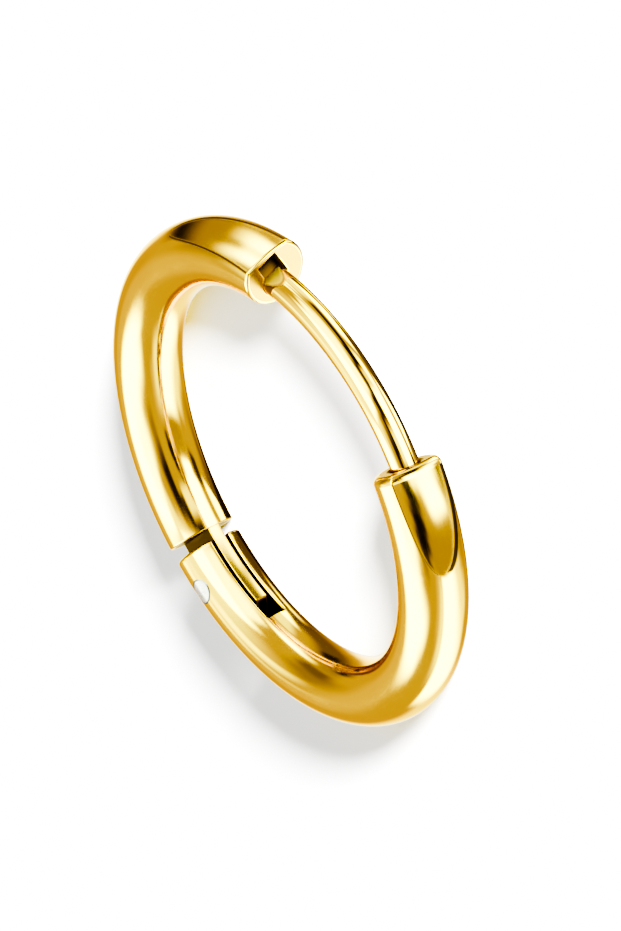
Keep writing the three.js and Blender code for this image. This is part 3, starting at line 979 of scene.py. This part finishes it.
PANELS = [
    # azimuth, half width, its softness, low, high, softness low, high, brightness
    (0, 181, 1, 58, 95, 30, 1, 3.0),  # overhead glow
    (35, 32, 34, 46, 74, 12, 12, 0.9),
    (0, 181, 1, -95, -64, 1, 22, 0.32),  # dark under the table
    (5, 46, 50, -78, -50, 12, 10, 0.9),
    (96, 50, 24, -90, -68, 6, 6, 0.22),
    (74, 28, 14, -86, -60, 6, 8, 7.5),
    (-175, 42, 40, -95, -40, 1, 20, 0.22),
    (-114, 20, 12, -88, -44, 6, 8, 0.05),
    (-158, 18, 20, 22, 42, 10, 10, 0.5),  # gentle steps in the tent's cloth
    (12, 18, 16, 36, 48, 8, 8, 0.5),
    (-10, 18, 14, 10, 20, 6, 8, 1.25),
    (-112, 16, 16, 14, 34, 10, 10, 1.15),
    (-88, 22, 16, 35, 84, 12, 10, 13.0),  # left overhead box
    (-62, 26, 40, 38, 84, 14, 10, 12.0),
    (-40, 40, 50, 60, 84, 16, 10, 8.0),
    (-128, 12, 14, 44, 66, 16, 16, 4.5),
    (120, 38, 12, 46, 84, 18, 10, 11.0),  # right overhead box
    (122, 12, 18, 8, 30, 12, 12, 4.5),  # and its long reflection below
    (116, 28, 10, 20, 46, 8, 12, 6.0),
    (60, 8, 8, 2, 24, 6, 6, 3.2),
    (46, 24, 26, 36, 55, 6, 12, 0.05),  # dark patch
    (-75, 34, 30, -34, -9, 18, 14, 2.6),
    (-30, 26, 20, -54, -28, 14, 8, 3.0),
    (-28, 36, 14, -34, 3, 24, 6, 11.0),  # low box in front left
    (-20, 24, 30, 3, 12, 6, 10, 3.0),
    (95, 14, 14, -50, -6, 10, 8, 2.6),
    (68, 19, 8, -40, 1, 14, 6, 11.5),  # low box in front right
    (44, 6, 6, -34, -12, 10, 10, 11.0),
    (24, 11, 8, -34, 5, 16, 5, 0.68),
    (40, 12, 8, -58, -43, 6, 6, 0.1),  # dark edge of the wire facet
    (24, 5, 5, 8, 15, 4, 4, 0.15),  # black strip, sloping
    (31, 5, 5, 4, 15, 4, 4, 0.01),
    (38, 5, 5, 1, 12, 4, 4, 0.01),
    (46, 5, 5, -2, 8, 4, 4, 0.01),
    (66, 11, 6, 27, 38, 4, 6, 0.06),  # dark line that bends to the floor
    (80, 7, 6, 8, 28, 5, 6, 0.06),
    (93, 9, 6, 0, 11, 5, 5, 0.06),
    (105, 7, 6, -22, 1, 5, 5, 0.04),
    (117, 8, 6, -24, -8, 5, 5, 0.04),
    (129, 8, 6, -23, -9, 5, 5, 0.08),
    (143, 22, 12, -60, -34, 8, 8, 8.5),  # low strip at the right
    (150, 9, 10, -34, -12, 8, 6, 2.8),
    (-158, 10, 10, -66, -54, 8, 8, 4.0),
    (97, 10, 10, -46, -28, 8, 8, 8.0),
    (-163, 17, 18, -48, -9, 12, 8, 0.28),  # dark side
    (-165, 14, 12, -8, 15, 6, 6, 0.6),
    (-166, 14, 14, 17, 30, 8, 8, 0.3),
    (-166, 8, 8, -20, -10, 6, 6, 0.05),
    (-151, 7, 15, -12, 8, 6, 5, 0.02),
    (162, 10, 8, -4, 13, 8, 8, 5.0),  # by the catch facet's end,
    (160, 10, 30, -7, 2, 6, 4, 10.5),  # with two long streaks
    (161, 14, 34, 8, 14, 5, 5, 12.0),
    (-124, 9, 12, -34, -8, 10, 8, 3.6),
]

DIM_CLOTH, LIT_CLOTH = (1.08, 0.76, 0.60, 1), (0.96, 1.08, 0.92, 1)
BARE_TENT = 0.88               # brightness of the tent's cloth where no panel lies


def light_tent():
    """The world: a golden-grey room with the panels laid over it one after another.

    Dim cloth is warm, because it only gets light that has bounced, and the lit panels
    are a little cool. Diffuse surfaces don't see the tent: the floor has its own lamps."""
    world = bpy.data.worlds.new("light_tent")
    bpy.context.scene.world = world
    world.use_nodes = True
    n = Nodes(world.node_tree)
    direction = n.add("ShaderNodeTexCoord").outputs["Generated"]
    x, y, z = n.add("ShaderNodeSeparateXYZ", Vector=direction).outputs
    azimuth = n.math("DEGREES", n.math("ARCTAN2", y, x))
    height = n.math("DEGREES", n.math("ARCSINE", z))
    value = n.add("ShaderNodeValue").outputs[0]
    value.default_value = BARE_TENT
    for *place, bright in PANELS:
        value = n.add("ShaderNodeMapRange", Value=patch(n, azimuth, height, *place),
                      To_Min=value, To_Max=bright).outputs["Result"]
    share = n.add("ShaderNodeMapRange", Value=value, From_Min=0.2, From_Max=2.4).outputs[0]
    colour = n.mix(share, DIM_CLOTH, LIT_CLOTH)
    background = n.add("ShaderNodeBackground", Color=colour, Strength=value)
    n.add("ShaderNodeOutputWorld", Surface=background.outputs[0])
    world.cycles_visibility.diffuse = False


light_tent()
print("the tent has", len(PANELS), "panels")

# %% [markdown]
# ## The floor
#
# The hoop lies on a pale, matt floor. The tent is made for the mirror and would light the
# floor in patches, so dull surfaces don't see it. The floor has two lamps of its own, far
# away and wide, and the gold doesn't mirror them. The strong one stands low in front of
# the hoop and throws its soft shadow behind it. The weak one overhead fills that shadow.

# %% The floor and its lamps
def lamp(name, azimuth, height, strength, spread):
    """A far, wide lamp for the floor, which the polished gold doesn't mirror. It shines
    from an azimuth and a height, and spread is the angle that it takes of the sky."""
    data = bpy.data.lights.new(name, "SUN")
    data.energy, data.angle = strength, math.radians(spread)
    stand = bpy.data.objects.new(name, data)
    bpy.context.scene.collection.objects.link(stand)
    stand.rotation_euler = (0, math.radians(90 - height), math.radians(azimuth))
    stand.visible_glossy = False
    print(name, "stands at azimuth", azimuth, "and height", height)


lamp("front_lamp", azimuth=84, height=13, strength=66.0, spread=15)
lamp("overhead_lamp", azimuth=78, height=70, strength=2.6, spread=80)


def pale_floor():
    """A wide plain floor that the hoop lies on. The gold doesn't mirror it, because the
    tent's lower panels stand for what a real floor would send up."""
    half = 3.0                     # half its width in metres
    mesh = bpy.data.meshes.new("floor")
    mesh.from_pydata([(-half, -half, 0), (half, -half, 0), (half, half, 0), (-half, half, 0)],
                     [], [(0, 1, 2, 3)])
    floor = bpy.data.objects.new("floor", mesh)
    bpy.context.scene.collection.objects.link(floor)
    material = bpy.data.materials.new("pale_floor")
    material.use_nodes = True
    n = Nodes(material.node_tree)
    shader = n.add("ShaderNodeBsdfPrincipled", Base_Color=(0.93, 0.93, 0.93, 1), Roughness=0.9,
                   Specular_IOR_Level=0.1)
    n.add("ShaderNodeOutputMaterial", Surface=shader.outputs[0])
    mesh.materials.append(material)
    floor.visible_glossy = False
    print("the floor is", 2 * half, "m wide")


pale_floor()

# %% [markdown]
# ## The camera
#
# The camera looks from a distance through a long lens, so the ring keeps its shape
# without the stretch of a close view. It stands above the floor, rolled so that the ear
# wire comes to the upper right. Its three directions come from cross products, which is
# easier to follow than three turns one after another.

# %% Camera
CAMERA_AZIMUTH, CAMERA_HEIGHT, CAMERA_ROLL = 71.1, 26.917, -116.213
CAMERA_DISTANCE, CAMERA_SIDE, CAMERA_UP = 315.04, -0.6455, -0.2339    # millimetres
LENS, SENSOR = 411.33, 36.0


def camera():
    """Camera from azimuth and height of its stand, its roll and its aim."""
    a, e, roll = (math.radians(v) for v in (CAMERA_AZIMUTH, CAMERA_HEIGHT, CAMERA_ROLL))
    back = Vector((math.cos(a) * math.cos(e), math.sin(a) * math.cos(e), math.sin(e)))
    level = Vector((-math.sin(a), math.cos(a), 0))
    up = back.cross(level)
    right = math.cos(roll) * level + math.sin(roll) * up
    upward = -math.sin(roll) * level + math.cos(roll) * up
    centre = Vector((centre_x, centre_y, pin_z))
    place = centre + back * CAMERA_DISTANCE - right * CAMERA_SIDE - upward * CAMERA_UP
    data = bpy.data.cameras.new("camera")
    data.lens, data.sensor_width = LENS, SENSOR
    data.clip_start, data.clip_end = 0.01, 10.0
    stand = bpy.data.objects.new("camera", data)
    bpy.context.scene.collection.objects.link(stand)
    matrix = Matrix((right, upward, back)).transposed().to_4x4()
    matrix.translation = place * 0.001
    stand.matrix_world = matrix
    bpy.context.scene.camera = stand
    print("camera at, mm:", [round(v, 1) for v in place])


camera()
bpy.context.scene.view_settings.view_transform = "AgX"
bpy.context.scene.view_settings.look = "AgX - Very High Contrast"
